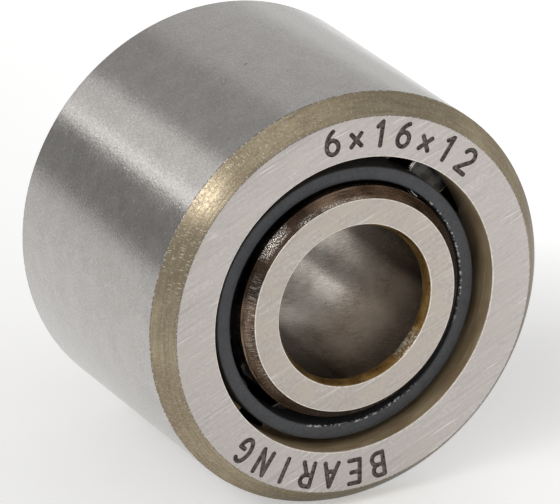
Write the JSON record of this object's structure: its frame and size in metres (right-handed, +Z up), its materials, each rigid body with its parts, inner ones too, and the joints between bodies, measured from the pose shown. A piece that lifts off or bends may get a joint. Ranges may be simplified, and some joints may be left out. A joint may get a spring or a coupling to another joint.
{
  "type": "needle roller bearing",
  "caption": "Machined needle roller bearing with an inner ring, a ribbed outer ring, a black plastic window cage and caged needle rollers.",
  "frame": {"origin": "centre of the bearing, on its axis and midway between the rings' end faces", "axes": "+Y along the bearing's axis, from the front face towards the back face; +Z up, with the bearing lying on its outside surface"},
  "size_m": [0.016, 0.012, 0.016],
  "materials": {
    "outer_ring_steel": "ground",
    "inner_ring_steel": "ground",
    "needle_steel": "polished",
    "cage_plastic": "moulded"
  },
  "bodies": {
    "outer_ring": {"outer_ring": "outer_ring_steel"},
    "inner_ring": {"inner_ring": "inner_ring_steel"},
    "cage": {"cage": "cage_plastic"},
    "needle_roller_01": {"needle_roller_01": "needle_steel"},
    "needle_roller_02": {"needle_roller_02": "needle_steel"},
    "needle_roller_03": {"needle_roller_03": "needle_steel"},
    "needle_roller_04": {"needle_roller_04": "needle_steel"},
    "needle_roller_05": {"needle_roller_05": "needle_steel"},
    "needle_roller_06": {"needle_roller_06": "needle_steel"},
    "needle_roller_07": {"needle_roller_07": "needle_steel"},
    "needle_roller_08": {"needle_roller_08": "needle_steel"},
    "needle_roller_09": {"needle_roller_09": "needle_steel"},
    "needle_roller_10": {"needle_roller_10": "needle_steel"},
    "needle_roller_11": {"needle_roller_11": "needle_steel"},
    "needle_roller_12": {"needle_roller_12": "needle_steel"}
  },
  "joints": [
    {"name": "inner_ring_spin", "type": "hinge", "parent": "outer_ring", "child": "inner_ring", "pos_m": [0, 0, 0], "axis": [0, 1, 0], "continuous": true},
    {"name": "cage_orbit", "type": "hinge", "parent": "outer_ring", "child": "cage", "pos_m": [0, 0, 0], "axis": [0, 1, 0], "continuous": true},
    {"name": "needle_roller_01_spin", "type": "hinge", "parent": "cage", "child": "needle_roller_01", "pos_m": [0.00421, 0, 0.00354], "axis": [0, 1, 0], "continuous": true},
    {"name": "needle_roller_02_spin", "type": "hinge", "parent": "cage", "child": "needle_roller_02", "pos_m": [0.00188, 0, 0.00517], "axis": [0, 1, 0], "continuous": true},
    {"name": "needle_roller_03_spin", "type": "hinge", "parent": "cage", "child": "needle_roller_03", "pos_m": [-0.00096, 0, 0.00542], "axis": [0, 1, 0], "continuous": true},
    {"name": "needle_roller_04_spin", "type": "hinge", "parent": "cage", "child": "needle_roller_04", "pos_m": [-0.00354, 0, 0.00421], "axis": [0, 1, 0], "continuous": true},
    {"name": "needle_roller_05_spin", "type": "hinge", "parent": "cage", "child": "needle_roller_05", "pos_m": [-0.00517, 0, 0.00188], "axis": [0, 1, 0], "continuous": true},
    {"name": "needle_roller_06_spin", "type": "hinge", "parent": "cage", "child": "needle_roller_06", "pos_m": [-0.00542, 0, -0.00096], "axis": [0, 1, 0], "continuous": true},
    {"name": "needle_roller_07_spin", "type": "hinge", "parent": "cage", "child": "needle_roller_07", "pos_m": [-0.00421, 0, -0.00354], "axis": [0, 1, 0], "continuous": true},
    {"name": "needle_roller_08_spin", "type": "hinge", "parent": "cage", "child": "needle_roller_08", "pos_m": [-0.00188, 0, -0.00517], "axis": [0, 1, 0], "continuous": true},
    {"name": "needle_roller_09_spin", "type": "hinge", "parent": "cage", "child": "needle_roller_09", "pos_m": [0.00096, 0, -0.00542], "axis": [0, 1, 0], "continuous": true},
    {"name": "needle_roller_10_spin", "type": "hinge", "parent": "cage", "child": "needle_roller_10", "pos_m": [0.00354, 0, -0.00421], "axis": [0, 1, 0], "continuous": true},
    {"name": "needle_roller_11_spin", "type": "hinge", "parent": "cage", "child": "needle_roller_11", "pos_m": [0.00517, 0, -0.00188], "axis": [0, 1, 0], "continuous": true},
    {"name": "needle_roller_12_spin", "type": "hinge", "parent": "cage", "child": "needle_roller_12", "pos_m": [0.00542, 0, 0.00096], "axis": [0, 1, 0], "continuous": true}
  ],
  "couplings": [
    {"joint": "cage_orbit", "follows": "inner_ring_spin", "ratio": 0.40909},
    {"joint": "needle_roller_01_spin", "follows": "inner_ring_spin", "ratio": -2.6591},
    {"joint": "needle_roller_02_spin", "follows": "inner_ring_spin", "ratio": -2.6591},
    {"joint": "needle_roller_03_spin", "follows": "inner_ring_spin", "ratio": -2.6591},
    {"joint": "needle_roller_04_spin", "follows": "inner_ring_spin", "ratio": -2.6591},
    {"joint": "needle_roller_05_spin", "follows": "inner_ring_spin", "ratio": -2.6591},
    {"joint": "needle_roller_06_spin", "follows": "inner_ring_spin", "ratio": -2.6591},
    {"joint": "needle_roller_07_spin", "follows": "inner_ring_spin", "ratio": -2.6591},
    {"joint": "needle_roller_08_spin", "follows": "inner_ring_spin", "ratio": -2.6591},
    {"joint": "needle_roller_09_spin", "follows": "inner_ring_spin", "ratio": -2.6591},
    {"joint": "needle_roller_10_spin", "follows": "inner_ring_spin", "ratio": -2.6591},
    {"joint": "needle_roller_11_spin", "follows": "inner_ring_spin", "ratio": -2.6591},
    {"joint": "needle_roller_12_spin", "follows": "inner_ring_spin", "ratio": -2.6591}
  ]
}
